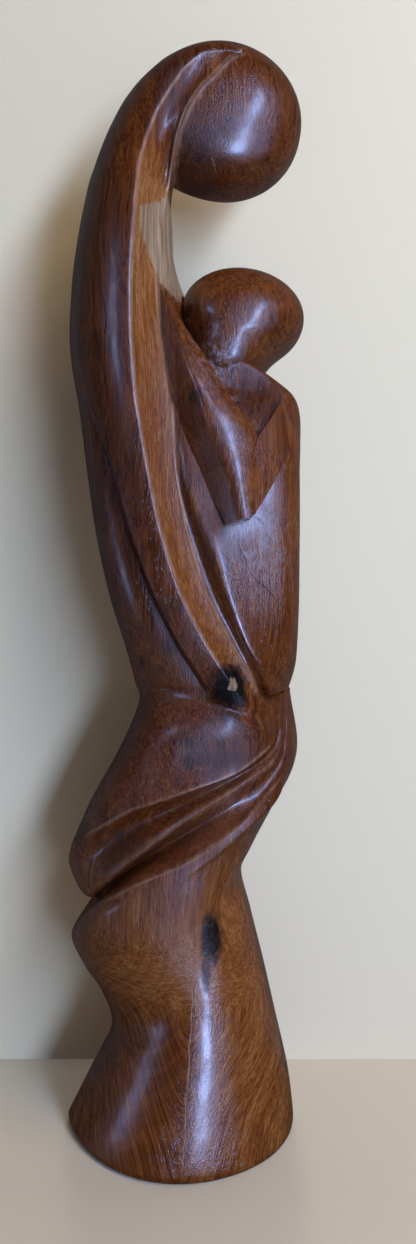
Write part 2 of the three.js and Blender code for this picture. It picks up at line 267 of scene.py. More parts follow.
def closed_mesh(name, rings, ends=None):
    """Closed skin over rings of equal length, with a fan to one place at each end. The faces
    are turned outwards by the sign of the volume they enclose."""
    count, around = rings.shape[:2]
    ends = rings[[0, -1]].mean(axis=1) if ends is None else np.array(ends, float)
    places = np.concatenate([rings.reshape(-1, 3), ends])[:, [0, 2, 1]] * THOUSANDTH
    here = np.arange(count * around).reshape(count, around)
    beside = np.roll(here, -1, axis=1)
    quads = np.stack([here[:-1], beside[:-1], beside[1:], here[1:]], axis=-1).reshape(-1, 4)
    top, foot = count * around, count * around + 1
    fans = np.concatenate([
        np.stack([np.full(around, top), beside[0], here[0]], axis=-1),
        np.stack([np.full(around, foot), here[-1], beside[-1]], axis=-1),
    ])
    a, b, c = (places[quads[:, k]] for k in range(3))
    outward = np.einsum("ij,ij->i", a, np.cross(b, c)).sum() > 0
    turn = slice(None) if outward else slice(None, None, -1)
    mesh = bpy.data.meshes.new(name)
    mesh.from_pydata(places.tolist(), [], quads[:, turn].tolist() + fans[:, turn].tolist())
    made = bpy.data.objects.new(name, mesh)
    bpy.context.collection.objects.link(made)
    return made


def skin():
    """The whole skin: every column runs smoothly down through the levels, and breaks at the two
    sharp folds of the skirt and, in front, at the sleeve's end."""
    shares_back = crowded(BACK, end=0.7)
    shares_sleeve = crowded(SLEEVE, start=0.6, end=0.82)
    shares_band = crowded(BAND, start=0.7, end=0.7)[1:]
    shares_breast = crowded(BREAST, start=0.6)[1:]
    trunk = trunk_levels(shares_back, shares_sleeve, shares_band, shares_breast)

    # A column comes down at the place of the loops that lies under it. Behind the sharp edge it
    # leaves the back line at the first pace, and the rest of the way grows with the cube.
    last = TRUNK[-1][4]
    turn = np.concatenate([(last - STEP_WALL) * shares_back, last + (90 - last) * shares_sleeve]) / 90
    bend = (LAST_PLACE - EDGE_AT) / LAST_PLACE
    first_pace = 0.325
    share = 1 - (first_pace * turn + (bend - first_pace) * turn**3)
    at = np.concatenate([
        LAST_PLACE * share,
        EDGE_AT + (INNER_AT - EDGE_AT) * shares_band,
        INNER_AT * (1 - shares_breast),
    ])
    loops = [SLEEVE_END, UPPER_HIP, LOWER_HIP, HIP_FOLD, RIBBON_HOLLOW, RIBBON_CREST, CHANNEL,
             CHANNEL_LEDGE, SKIRT_FOLD, SKIRT_SWELL]
    levels = np.concatenate([
        trunk,
        [loop_level(loop, at) for loop in loops],
        [foot_level(*level, at) for level in FOOT],
    ])
    sleeve_end = len(TRUNK)
    hip_fold = sleeve_end + loops.index(HIP_FOLD)
    skirt_fold = sleeve_end + loops.index(SKIRT_FOLD)

    def rows(first, last, per_level, start=0.0, end=0.0):
        """Steps down from the first level to the last, drawn together at an end with a number."""
        steps = per_level * (last - first)
        return (last - first) * crowded(steps, start, end)

    # The break at the sleeve's end grows from nothing on the back to all of it at the rear edge.
    upper = levels[:hip_fold + 1]
    run = np.concatenate([
        np.linspace(0, sleeve_end, LEVEL_ROWS * sleeve_end, endpoint=False),
        sleeve_end + rows(sleeve_end, hip_fold, HIP_ROWS, end=0.8),
    ])
    unbroken = smooth(upper, run)
    above = run < sleeve_end
    broken = np.concatenate([
        smooth(upper[:sleeve_end + 1], run[above]),
        smooth(upper[sleeve_end:], run[~above] - sleeve_end),
    ])
    crease = ramp(np.arange(len(at)), 0.75 * BACK, 1.05 * BACK)[:, None]
    upper = unbroken + (broken - unbroken) * crease
    folds = smooth(
        levels[hip_fold:skirt_fold + 1], rows(hip_fold, skirt_fold, LEVEL_ROWS, 0.8, 0.8))
    foot = smooth(levels[skirt_fold:], rows(skirt_fold, len(levels) - 1, LEVEL_ROWS, start=0.75))
    grid = np.concatenate([upper, folds[1:], foot[1:]])

    # The long edges are rounded over by hand sanding.
    column = np.arange(grid.shape[1])
    row = np.arange(grid.shape[0])[:, None]
    edges = (
        bell(column, REAR_EDGE, 0.8) + bell(column, SHARP_EDGE, 1.5) + bell(column, INNER_EDGE, 1.7))
    inside = (column > 0) & (column < column[-1])
    grid = soften(grid, (np.clip(edges, 0, 1) * inside)[None, :, None], 3, 1)
    lines = bell(row, len(upper) - 1, 1.8) + bell(row, len(upper) + len(folds) - 2, 0.9)
    grid = soften(grid, np.clip(lines, 0, 1)[..., None], 3, 0)
    return grid


# The photograph shows nothing of the far side's hood past the near side's, so it is cut back at the
# neck by a bell this deep and this high up, with this half height and over this many columns.
HOOD_CUT = {"depth": 10, "up": 888, "half_height": 28, "columns": 8}
near_skin = skin()
far_skin = near_skin.copy()
beside_edge = bell(np.arange(far_skin.shape[1]), INNER_EDGE, HOOD_CUT["columns"])
far_skin[..., 0] -= (
    HOOD_CUT["depth"] * bell(far_skin[..., 1], HOOD_CUT["up"], HOOD_CUT["half_height"]) * beside_edge)
figure = closed_mesh("mother_and_child_carving", whole(near_skin, far_skin))


# The two bowed heads
# Smooth ovals without faces, worked out of the same log and polished bright. The mother's is the
# bigger one, and her hood runs over it. Each draws out towards its neck.

# The pole is where the head is widest, fullness is how square its oval is, and the neck gives the
# angle at which the outline is drawn out, by what share, and over how many degrees.
MOTHER_HEAD = {
    "centre": (36.8, 932.6), "radii": (71.9, 65.9), "nod": 18.5, "half_width": 50,
    "pole": (8.7, 931.8), "fullness": 2.63, "neck": (228, 0.13, 26),
}
CHILD_HEAD = {
    "centre": (53.3, 750.4), "radii": (57.4, 42), "nod": 7.5, "half_width": 54.3,
    "pole": (43.2, 730.9), "fullness": 2.3, "neck": (262, 1.0, 26),
}
# Behind the hood's inner edge the mother's head sinks away under the flute. The sink starts past
# the edge, deepens with the distance for a length, and fades away towards the top.
HOOD_SINK = {"slope": 1.2, "start": 2.5, "length": 14, "top": 978, "full_at": 964}


def head(name, centre, radii, nod, half_width, pole, fullness, neck, hood=None, rows=72, around=144):
    """Seen from the side the outline is an oval turned down by the nod, its radius raised round
    the neck's angle by a bell. From the pole to the outline the width falls as a full quarter
    oval, whose powers are 2 over the fullness. Behind the hood's line the sink is taken off it."""
    turn = np.linspace(0, 2 * np.pi, around, endpoint=False)
    toward, share, spread = neck
    off = (np.degrees(turn) - toward + 180) % 360 - 180
    radius = 1 + share * bell(off, 0, spread)
    along, across = radii[0] * radius * np.cos(turn), radii[1] * radius * np.sin(turn)
    tilt = math.radians(nod)
    forward = centre[0] + along * math.cos(tilt) + across * math.sin(tilt)
    up = centre[1] + across * math.cos(tilt) - along * math.sin(tilt)
    polar = np.linspace(0, np.pi, rows + 1)[1:-1, None]
    drawn = np.sin(polar) ** (2 / fullness)
    out = half_width * np.sign(np.cos(polar)) * np.abs(np.cos(polar)) ** (2 / fullness)
    rings = np.stack(np.broadcast_arrays(
        pole[0] + (forward - pole[0]) * drawn, pole[1] + (up - pole[1]) * drawn, out), axis=-1)
    if hood is not None:
        past = np.interp(rings[..., 1], hood[::-1, 1], hood[::-1, 0]) - rings[..., 0]
        below_top = ramp(rings[..., 1], HOOD_SINK["top"], HOOD_SINK["full_at"])
        sink = HOOD_SINK["slope"] * np.clip(past - HOOD_SINK["start"], 0, HOOD_SINK["length"])
        sink *= below_top
        rings[..., 2] = np.sign(rings[..., 2]) * np.maximum(np.abs(rings[..., 2]) - sink, 0)
    return closed_mesh(name, rings, [(*pole, half_width), (*pole, -half_width)])


# The hood's inner edge runs down to the neck over the first levels.
HOOD_LEVELS = 10
hood_line = np.array([row[2] for row in TRUNK[:HOOD_LEVELS]], float)
heads = [head("mother_head", **MOTHER_HEAD, hood=hood_line), head("child_head", **CHILD_HEAD)]


# The child's body
# Its shoulders, its straight back, which is the flat front of the log, and the drawn-up leg,
# whose shin stands as a ridge beside the mother's sleeve.

# A row is one level: the middle plane inside the mother, the lip under her sleeve, the groove
# beside it, the shin's ridge, the hollow behind it, the soft corner of the back, and its middle.
CHILD = [
    ((12, 712, 0), (14, 712, 30), (20, 712, 28), (30, 708, 36), (50, 702, 37), (62, 697, 30),
     (66, 694, 0)),
    ((0, 704, 0), (4, 704, 42), (10, 704, 40), (28, 702, 45), (50, 698, 45), (70, 690, 41),
     (74, 686, 0)),
    ((0, 690, 0), (2, 690, 44), (8, 690, 42), (26, 689, 44), (52, 684, 44), (84, 679, 45),
     (89, 674, 0)),
    ((-4, 672, 0), (0, 672, 47), (6, 672, 45), (24, 672, 45), (58, 671, 44), (94, 668, 49),
     (101, 663, 0)),
    ((-18, 655, 0), (-14, 655, 66), (-8, 655, 65), (4, 655, 66), (34, 655, 48), (97, 653, 53),
     (106, 648, 0)),
    ((-18, 628, 0), (-14, 628, 69), (-8, 628, 67), (2, 628, 70), (34, 628, 60), (98, 625, 57),
     (106, 625, 0)),
    ((-15, 603, 0), (-11, 603, 70), (-6, 603, 67.5), (1, 603, 73), (28, 603, 71), (99, 603, 61.5),
     (105, 603, 0)),
    ((-13, 580, 0), (-8, 580, 70.5), (-2, 580, 67), (1, 580, 76), (28, 580, 74), (99, 580, 63),
     (105, 580, 0)),
    ((-8, 550, 0), (-2, 550, 71), (7, 550, 66), (13, 550, 79), (34, 550, 74.5), (99, 550, 62.5),
     (105, 550, 0)),
    ((0, 520, 0), (7, 520, 71), (17, 520, 65.5), (25, 520, 80), (46, 520, 74), (98, 520, 60),
     (105, 520, 0)),
    ((12, 485, 0), (20, 485, 70), (29.5, 485, 65), (37, 485, 78.5), (57, 485, 70), (97, 485, 54),
     (105, 485, 0)),
    ((28, 450, 0), (38, 450, 67), (46, 450, 61), (51, 450, 73.5), (69, 450, 63), (96, 450, 46),
     (104, 450, 0)),
    ((46, 425, 0), (53, 425, 61), (58, 425, 57), (66, 425, 64), (78, 425, 53), (93, 425, 39),
     (102, 425, 0)),
    ((70, 400, 0), (71, 400, 40), (73, 400, 42), (77, 400, 46), (83, 401, 40), (89, 403, 28),
     (96, 405, 0)),
]
# Half way round the back's corner: the share of the way to its middle, and of the width left.
BACK_ROUND = (0.8, 0.55)


def child_body(rows=120, slope=6, shin=8, hollow=9, side=12, back=10):
    """Half levels: straight runs from the middle plane to the lip, the groove, the shin's ridge,
    the hollow and the corner of the back, with a given number of columns each and eased where
    they meet. Then a parabola rounds the back from its corner to the middle."""
    lines = smooth(CHILD, np.linspace(0, len(CHILD) - 1, rows))
    hidden, lip, groove, ridge, valley, corner, front = (lines[:, None, k] for k in range(7))
    runs = [hidden, lip]
    for start, end, steps, ends in (
        (lip, groove, slope, (0.2, 0.2)), (groove, ridge, shin, (0.4, 0.7)),
        (ridge, valley, hollow, (0.7, 0.2)), (valley, corner, side, (0.0, 0.3)),
    ):
        runs.append(start + (end - start) * crowded(steps, *ends)[1:, None])
    turned = corner.copy()
    turned[..., 0] += (front - corner)[..., 0] * BACK_ROUND[0]
    turned[..., 2] *= BACK_ROUND[1]
    s = np.linspace(0, 1, back + 1)[1:, None]
    beyond = 2 * turned - (corner + front) / 2
    runs.append((1 - s) ** 2 * corner + 2 * s * (1 - s) * beyond + s**2 * front)
    level = np.concatenate(runs, axis=1)
    column = np.arange(level.shape[1])
    at_groove = 1 + slope
    at_ridge = at_groove + shin
    at_hollow = at_ridge + hollow
    at_corner = at_hollow + side
    eased = (
        bell(column, at_groove, 2.0) + bell(column, at_ridge, 4.2)
        + bell(column, at_hollow, 5) + bell(column, at_corner, 3))
    eased = np.clip(eased, 0, 1) * (column > 2) * (column < column[-1])
    return soften(level, eased[None, :, None], 8, 1)


child = closed_mesh("child_body", whole(child_body()))


# The child's arms
# A bent arm on each side: the forearm rises from the elbow to the mother's neck as a ridge with
# a facet on either side, and the upper arm goes up to the child's shoulder.

# A row is one long edge of the facets, from the elbow up: the forearm's four from the rear to the
# front, and the upper arm's lower and upper one. The roots lie this far out from the middle.
FOREARM = [
    [(36, 548, 80), (24, 573, 76), (11, 602, 72), (-3, 631, 67), (-16, 657, 60), (-23, 686, 58),
     (-28, 728, 51), (-29, 768, 46)],
    [(47, 551, 90), (41, 583, 92), (31, 610, 90), (20, 636, 87), (12, 660, 84), (4, 682, 80),
     (-10, 722, 68), (-24, 768, 54)],
    [(56, 553, 90), (55, 588, 89), (48, 616, 86), (37, 641, 83), (25, 662, 80), (13, 684, 77),
     (-4, 724, 66), (-22, 768, 53)],
    [(62, 558, 84), (68, 597, 76), (64, 622, 76), (51, 643, 75), (37, 663, 73), (23, 687, 70),
     (-1, 727, 60), (-20, 769, 49)],
]
UPPER_ARM = [
    [(57, 553, 84), (66, 565, 80), (76, 582, 75), (86, 601, 69), (93, 616, 63), (97, 630, 55),
     (97, 645, 40)],
    [(51, 555, 86), (54, 575, 87), (58, 600, 84), (64, 622, 79), (74, 638, 72), (84, 657, 62),
     (89, 668, 44)],
]
ROOT_DEPTH = 24


def arm(name, edges, side, bulges, eases, per_facet=10, along=70):
    """Strip of facets between the edges, each edge a smooth line up the arm and each facet raised
    by a parabola as high as its bulge. The edges between facets are eased as many times as eases
    gives, and the strip is closed by its two outer edges carried in to the root depth."""
    lines = np.stack([smooth(edge, np.linspace(0, len(edge) - 1, along)) for edge in edges], axis=1)
    share = np.concatenate([i + crowded(per_facet, 0.5, 0.5)[:-1] for i in range(len(edges) - 1)])
    share = np.append(share, len(edges) - 1)
    i = np.minimum(share.astype(int), len(edges) - 2)
    t = (share - i)[:, None]
    face = lines[:, i] * (1 - t) + lines[:, i + 1] * t
    face[..., 2] += np.array(bulges)[i] * 4 * (t * (1 - t))[:, 0]
    inside = (share > 0) & (share < share[-1])
    for edge, rounds in eases.items():
        face = soften(face, (bell(share, edge, 0.25) * inside)[None, :, None], rounds, 1)
    first, last = face[:, :1].copy(), face[:, -1:].copy()
    first[..., 2] = last[..., 2] = ROOT_DEPTH
    return closed_mesh(name, np.concatenate([first, face, last], axis=1) * (1, 1, side))


arms = [
    made
    for hand, side in (("right", -1), ("left", 1))
    for made in (
        arm(f"forearm_{hand}", FOREARM, side, bulges=(0, 0.8, 1.2), eases={1: 4, 2: 9}),
        arm(f"upper_arm_{hand}", UPPER_ARM, side, bulges=(0.5,), eases={}),
    )
]


# The finished carving
# All the forms are one piece of reddish hardwood, so they are joined into one closed skin, which
# stands for the plain solid of the frame. It was sanded smooth and varnished over knots and checks.
for form in [*heads, child, *arms]:
    join = figure.modifiers.new(form.name, "BOOLEAN")
    join.operation = "UNION"
    join.solver = "MANIFOLD"
    join.object = form
joined = bpy.data.meshes.new_from_object(
    figure.evaluated_get(bpy.context.evaluated_depsgraph_get()))
figure.modifiers.clear()
for form in [*heads, child, *arms]:
    bpy.data.objects.remove(form)
figure.data = joined

# The box of the carving stands in the middle of the floor, as that of the solid does.
places = np.empty(len(joined.vertices) * 3)
joined.vertices.foreach_get("co", places)
places = places.reshape(-1, 3)
middle = (places.min(axis=0) + places.max(axis=0)) / 2
places -= (middle[0], middle[1], places[:, 2].min())
joined.vertices.foreach_set("co", places.ravel())
SHARP_ABOVE = math.radians(28)
joined.shade_smooth()
joined.set_sharp_from_angle(angle=SHARP_ABOVE)
joined.update()

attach(figure, "root")
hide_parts("mother_and_child")

# What varies over the wood is kept on the mesh, as numbers that the material reads by their names.
carved = (places + (middle[0], middle[1], 0)) / THOUSANDTH
ahead, out, height = carved[:, 0], np.abs(carved[:, 1]), carved[:, 2]


def keep_on_mesh(name, values):
    """One number for each place of the joined skin."""
    layer = joined.attributes.new(name, "FLOAT", "POINT")
    layer.data.foreach_set("value", values.astype(np.float32))


def past_line(line):
    """How far ahead of a line of the side view each place lies, at its own height."""
    line = np.array(line[::-1], float)
    return ahead - np.interp(height, line[:, 1], line[:, 0])


def spot(forward, up, reach_forward, reach_up):
    """Soft patch right through the figure, round a place of the side view: one bell's share
    forward times another's up."""
    return bell(ahead, forward, reach_forward) * bell(height, up, reach_up)


def spots(patches):
    """Sum of the patches, each a place, its two reaches and its strength."""
    return sum(strength * spot(*where) for *where, strength in patches)


# The lips of the sleeve's flat edge and three of the skirt's folds are painted pale: partly worn
# wood, partly a painted highlight along each edge. On the ribbon's crest it is a painted highlight only.
past_edge = past_line([row[1] for row in TRUNK])
past_inner = past_line([row[2] for row in TRUNK])
above_lap = ramp(height, 398, 410)
inner_lip = 1.6 + 0.9 * ramp(height, 870, 890)
lips = np.maximum(bell(past_edge, 0, 1.3), bell(past_inner, 0.4, inner_lip))
lips *= (height < 975) * above_lap
wear_and_highlight = lips
for fold, strength, width in (
    (HIP_FOLD, 0.8, 1.6), (SKIRT_FOLD, 0.7, 1.6), (RIBBON_CREST, 0.35, 4)):
    line = np.array(fold[3:][::-1], float)
    past_fold = height - np.interp(ahead, line[:, 0], line[:, 1])
    on_fold = bell(past_fold, 0, width) * (ahead < line[-1, 0]) * (ahead > -90)
    wear_and_highlight = np.maximum(wear_and_highlight, strength * on_fold)
keep_on_mesh("wear_and_highlight", np.clip(wear_and_highlight, 0, 1))

# The tone is above 0 where the wood is painted paler: on the sleeve's flat edge, which faces the
# window, partly paler wood and partly painted light; on its lips, as worn wood and painted highlight;
# and on the foot. It is below 0 on the cape, as painted shade on the side turned from the window.
# Softer patches of both kinds lie over that.
flat = ramp(past_edge, -0.75, 0.75) * ramp(past_inner, 0.75, -0.75)
tone_and_painted_light = 0.33 * flat * above_lap * ramp(height, 905, 845) * np.maximum(ramp(height, 300, 800), 0.6)
tone_and_painted_light += 0.12 * lips
tone_and_painted_light -= 0.12 * ramp(past_edge, 3, -3) * ramp(height, 440, 500)
tone_and_painted_light += 0.12 * ramp(height, 270, 210)
# Each patch: place, reach forward and up, and change. The one in the ribbon's hollow is painted shade.
# Three darken the hood's flute, the mother's head and the skirt's swell as painted shade against the
# polish's haze. The rest are paler or darker wood.
TONE_AND_SHADE_PATCHES = [
    (-10, 215, 90, 60, 0.10), (-6, 222, 22, 30, -0.10), (-8, 922, 18, 36, -0.16),
    (22, 892, 26, 28, -0.12), (30, 365, 60, 28, -0.12), (-62, 270, 42, 20, -0.10),
    (-30, 150, 60, 28, 0.16), (-8, 72, 24, 50, -0.12),
]
tone_and_painted_light += spots(TONE_AND_SHADE_PATCHES)
# Painted shade: inside the hood, and on the sunk triangle of the chest, the wood closer in than
# this is painted darker.
HOOD_INSIDE, CHEST_INSIDE = 58, 54
tone_and_painted_light -= 0.12 * spot(8, 882, 22, 24) * (out < HOOD_INSIDE)
tone_and_painted_light -= 0.22 * spot(56, 664, 24, 26) * (out < CHEST_INSIDE)
keep_on_mesh("tone_and_painted_light", tone_and_painted_light)

# Where the polish is dull, and where short tool marks are left in it, with their glints painted
# pale.
DULL_PATCHES = [
    (34, 354, 32, 24, 1.1), (-42, 225, 24, 22, 0.8), (-6, 930, 18, 36, 1.0),
    (14, 884, 18, 20, 0.8), (22, 272, 26, 22, 1.0), (20, 585, 16, 40, 0.5),
    (28, 550, 12, 22, 0.9), (-10, 438, 26, 40, 0.8), (-60, 272, 44, 18, 0.6),
    (-6, 222, 24, 32, 1.1), (76, 535, 26, 50, 0.3),
]
TOOL_MARKS_AND_GLINTS = [(28, 699, 16, 18, 1.0), (62, 530, 30, 30, 0.5)]
keep_on_mesh("dull", np.clip(spots(DULL_PATCHES), 0, 1))
keep_on_mesh("tool_marks_and_glints", spots(TOOL_MARKS_AND_GLINTS))

# Bare pale wood on the neck, as a distance in from the patch's rear, upper and lower limits.
BARE_BEHIND = -2
past_rear = ahead + 38 - 0.42 * np.maximum(0, 800 - height)
below_upper = 824 + 1.15 * (ahead + 35) - height
above_lower = 0.4 * (height - 756)
bareness = np.minimum(np.minimum(past_rear, below_upper), above_lower) / 6
bareness[ahead > BARE_BEHIND] = -1
keep_on_mesh("bareness", np.clip(bareness, -1, 1))

wood = bpy.data.materials.new("polished_hardwood")
wood.use_nodes = True
tree = wood.node_tree
shader = tree.nodes["Principled BSDF"]


def node(kind, inputs=(), out=0, **settings):
    """Adds a node with its settings, wires or sets its inputs, and gives back one output."""
    made = tree.nodes.new("ShaderNode" + kind)
    for name, value in settings.items():
        setattr(made, name, value)
    for key, value in dict(inputs).items():
        if isinstance(value, bpy.types.NodeSocket):
            tree.links.new(value, made.inputs[key])
        else:
            made.inputs[key].default_value = value
    return made.outputs[out]


def calc(operation, *values):
    """One sum on numbers or number sockets."""
    return node("Math", enumerate(values), operation=operation)


def vector(operation, first, second=(0, 0, 0), out=0):
    """One sum on vectors or vector sockets. Lengths and dot products come out at 1."""
    return node("VectorMath", {0: first, 1: second}, out, operation=operation)


def stored(name):
    """Number kept on the mesh under this name."""
    return node("Attribute", out=2, attribute_name=name)


def reach(value, low, high, to_low=0.0, to_high=1.0):
    """Eased share of the way from low to high, between two results."""
    return node("MapRange", {"Value": value, "From Min": low, "From Max": high, "To Min": to_low,
                             "To Max": to_high}, interpolation_type="SMOOTHSTEP")


def blended(share, first, second):
    """Colour between two colours."""
    return node("Mix", {0: share, 6: first, 7: second}, 2, data_type="RGBA")


def clouds(where, scale, detail, roughness=0.6, out=0):
    """Soft noise, most of it between 0.3 and 0.7, as a number or, at output 1, a colour."""
    return node("TexNoise", {"Vector": where, "Scale": scale, "Detail": detail,
                             "Roughness": roughness}, out)


def on_figure(forward, up, out):
    """Place on the near side of the finished carving, in metres, from thousandths."""
    return Vector((forward * THOUSANDTH - middle[0], -out * THOUSANDTH - middle[1], up * THOUSANDTH))


def surface_at(forward, up, around=3.0):
    """How far out the near side of the carving lies at a place of the side view."""
    near = np.hypot(ahead - forward, height - up) < around
    return -carved[near, 1].min()


def distance(centre, size):
    """Distance from a place of the near side, counted so that it is 1 on an oval of half sizes
    given forward, in and up."""
    away = vector("SUBTRACT", place, on_figure(*centre))
    away = vector("MULTIPLY", away, [1 / (part * THOUSANDTH) for part in size])
    return vector("LENGTH", away, out=1)


def shifted(scale, detail, roughness, amount):
    """The place shifted by soft noise, by up to about a third of the amount each way."""
    shift = vector("SUBTRACT", clouds(place, scale, detail, roughness, 1), (0.5, 0.5, 0.5))
    return vector("ADD", vector("MULTIPLY", shift, amount), place)


# Knots and stains: place, half size forward, in and up, and how dark each is. The rings swirl round
# them.
KNOTS = [
    ((41, 408.5), (20, 18, 25), 1.0), ((40, 385), (14, 10, 8), 0.6), ((24.5, 195), (12.5, 12, 25), 0.95),
    ((19.5, 167), (4.5, 10, 20), 0.75), ((5, 362), (5, 8, 5.5), 0.55), ((5, 346), (5, 8, 9), 0.6),
    ((-38, 429), (3.5, 8, 7), 0.7), ((9.6, 656), (6, 9, 8), 0.6), ((-16, 471), (6, 9, 22), 0.45),
    ((-14, 443), (8, 9, 9), 0.35), ((84, 731), (8, 12, 12), 0.3), ((-75, 702), (8, 14, 16), 0.3),
    ((3, 746), (5, 30, 6), 0.75), ((38, 346), (26, 14, 9), 0.4),
]
place = node("TexCoord", out=3)
bent = shifted(9.0, 2.0, 0.5, (0.028, 0.028, 0.03))
ragged = calc("SUBTRACT", clouds(place, 420.0, 3.0), 0.5)
SWIRL_DEPTH = 0.006
dark = 0.0
swirl = 0.0
for centre, size, depth in KNOTS:
    far = distance((*centre, surface_at(*centre)), size)
    rough_far = calc("MULTIPLY_ADD", ragged, 0.9, far)
    dark = calc("MAXIMUM", dark, reach(rough_far, 1.25, 0.55, 0.0, depth))
    swirl = calc("ADD", swirl, reach(far, 3.2, 0.3, 0.0, SWIRL_DEPTH * depth))

# The grain: rings about the pith, which lies to the near side of the middle and leans a little.
PITH_SHIFT, PITH_LEAN = (0.004, 0.017, 0), (0.02, -0.06, 0)
from_pith = node("Mapping", {"Vector": bent, "Location": PITH_SHIFT, "Rotation": PITH_LEAN})
ring_at = calc("ADD", vector("LENGTH", vector("MULTIPLY", from_pith, (1, 1, 0)), out=1), swirl)


def ring_bands(per_metre, detail):
    """Bands of noise that change with the distance from the pith alone."""
    noise = node("TexNoise", {"W": calc("MULTIPLY", ring_at, per_metre), "Scale": 1.0,
                              "Detail": detail, "Roughness": 0.6}, noise_dimensions="1D")
    return reach(noise, 0.32, 0.68)


rings = ring_bands(330.0, 3.0)
thin_rings = ring_bands(1000.0, 2.0)

# Streaks and pores are drawn out along the log. Low on the foot they fan out: they rise away from
# the long check on either side of it.
CHECK_AHEAD, FAN_ROUNDING, FAN_LEAN = 0.002, 0.004, 0.05
bent_ahead, bent_in, bent_up = (node("SeparateXYZ", {0: bent}, k) for k in range(3))
above_floor = node("SeparateXYZ", {0: place}, 2)
ahead_of_check = calc("SUBTRACT", bent_ahead, CHECK_AHEAD)
aside = calc("SQRT", calc("MULTIPLY_ADD", ahead_of_check, ahead_of_check, FAN_ROUNDING**2))
fanned = calc("MULTIPLY_ADD", reach(above_floor, -0.02, 0.12), -FAN_LEAN, aside)
fan_share = reach(above_floor, 0.10, 0.055)
across_grain = node("Mix", {0: fan_share, 2: bent_ahead, 3: fanned}, data_type="FLOAT")
in_share = reach(fan_share, 0.0, 1.0, 1.0, 0.2)
along = node("CombineXYZ", {
    0: calc("ADD", across_grain, swirl),
    1: calc("MULTIPLY_ADD", bent_ahead, 0.15, calc("MULTIPLY", bent_in, in_share)),
    2: bent_up})
streaks = reach(clouds(vector("MULTIPLY", along, (480, 480, 5)), 1.0, 4.0), 0.3, 0.7)
fine = reach(clouds(vector("MULTIPLY", along, (1700, 1700, 30)), 1.0, 3.0), 0.3, 0.7)
pore = node("TexVoronoi", {"Vector": vector("MULTIPLY", along, (1500, 1500, 230)), "Scale": 1.0})
pores = reach(pore, 0.3, 0.14)
patches = reach(clouds(vector("MULTIPLY", place, (1, 1, 0.4)), 22.0, 3.0), 0.33, 0.67)

# The wood's colour follows a sum of these, each with its weight.
shade = stored("tone_and_painted_light")
for part, weight in (
    (thin_rings, 0.06), (rings, 0.10), (streaks, 0.20), (fine, 0.30), (patches, 0.14)):
    shade = calc("MULTIPLY_ADD", part, weight, shade)
colour = tree.nodes.new("ShaderNodeValToRGB")
tree.links.new(shade, colour.inputs[0])
WOOD_COLOURS = [
    (0.08, (0.028, 0.0060, 0.0015, 1)), (0.36, (0.085, 0.0205, 0.0040, 1)),
    (0.62, (0.165, 0.0520, 0.0115, 1)), (0.98, (0.300, 0.1420, 0.0560, 1)),
]
# PALE_WEAR_AND_HIGHLIGHT is the pale colour of worn edges and of the painted highlights along them.
PORE_BROWN, PALE_WEAR_AND_HIGHLIGHT = (0.018, 0.006, 0.003, 1), (0.30, 0.175, 0.13, 1)
stops = colour.color_ramp.elements
for i, (at, value) in enumerate(WOOD_COLOURS):
    stop = stops[i] if i < 2 else stops.new(at)
    stop.position = at
    stop.color = value
grained = blended(calc("MULTIPLY", pores, 0.55), colour.outputs[0], PORE_BROWN)
# Pale wear and painted highlight along the lips and the folds.
wear_and_highlight_here = calc("MULTIPLY", stored("wear_and_highlight"), reach(streaks, 0.0, 1.0, 0.3, 0.7))
grained = blended(wear_and_highlight_here, grained, PALE_WEAR_AND_HIGHLIGHT)

# The cut across the neck is bare pale wood, and the big knot's broken heart is pale and rough.
BARE_SHADED, BARE_PALE = (0.14, 0.078, 0.040, 1), (0.30, 0.205, 0.135, 1)
KNOT_BLACK = (0.0045, 0.0028, 0.0032, 1)
neck = reach(calc("MULTIPLY_ADD", ragged, 1.4, stored("bareness")), -0.1, 0.5)
heart_distance = distance((42.5, 411, surface_at(42.5, 411)), (4.5, 12, 8))
heart = reach(calc("MULTIPLY_ADD", ragged, 1.8, heart_distance), 0.95, 0.7)
bare = calc("MAXIMUM", neck, heart)
bare_colour = blended(streaks, BARE_SHADED, BARE_PALE)
stained = blended(dark, grained, KNOT_BLACK)

# Painted highlight: short scrapes in the polish are painted pale grey where they catch the light.
GLINT_GREY = (0.21, 0.165, 0.205, 1)
marks_and_glints_here = stored("tool_marks_and_glints")
scrapes = clouds(vector("MULTIPLY", place, (1, 1, 0.6)), 480.0, 2.0)
painted_glints = calc("MULTIPLY", marks_and_glints_here, reach(scrapes, 0.46, 0.64, 0.0, 0.7))
stained = blended(painted_glints, stained, GLINT_GREY)


def seam(start, end, half_width, bow):
    """1 on a thin line over the near side, between two places of the side view. A parabola bows
    it aside in its middle, and it fades over the last fifth towards either end."""
    line = on_figure(*end, 0) - on_figure(*start, 0)
    length = line.length
    across = Vector((-line.z, 0, line.x)) / length
    away = vector("SUBTRACT", wavy, (on_figure(*start, 0) + on_figure(*end, 0)) / 2)
    gone = calc("DIVIDE", vector("DOT_PRODUCT", away, line / length, out=1), length / 2)
    bowed = calc("MULTIPLY_ADD", calc("MULTIPLY", gone, gone), bow * THOUSANDTH,
                 vector("DOT_PRODUCT", away, across, out=1))
    off_line = calc("ABSOLUTE", calc("SUBTRACT", bowed, bow * THOUSANDTH))
    on_line = reach(off_line, half_width * THOUSANDTH, 0.0)
    faded = calc("MULTIPLY", on_line, reach(calc("ABSOLUTE", gone), 1.0, 0.8))
    return calc("MULTIPLY", faded, near_side)


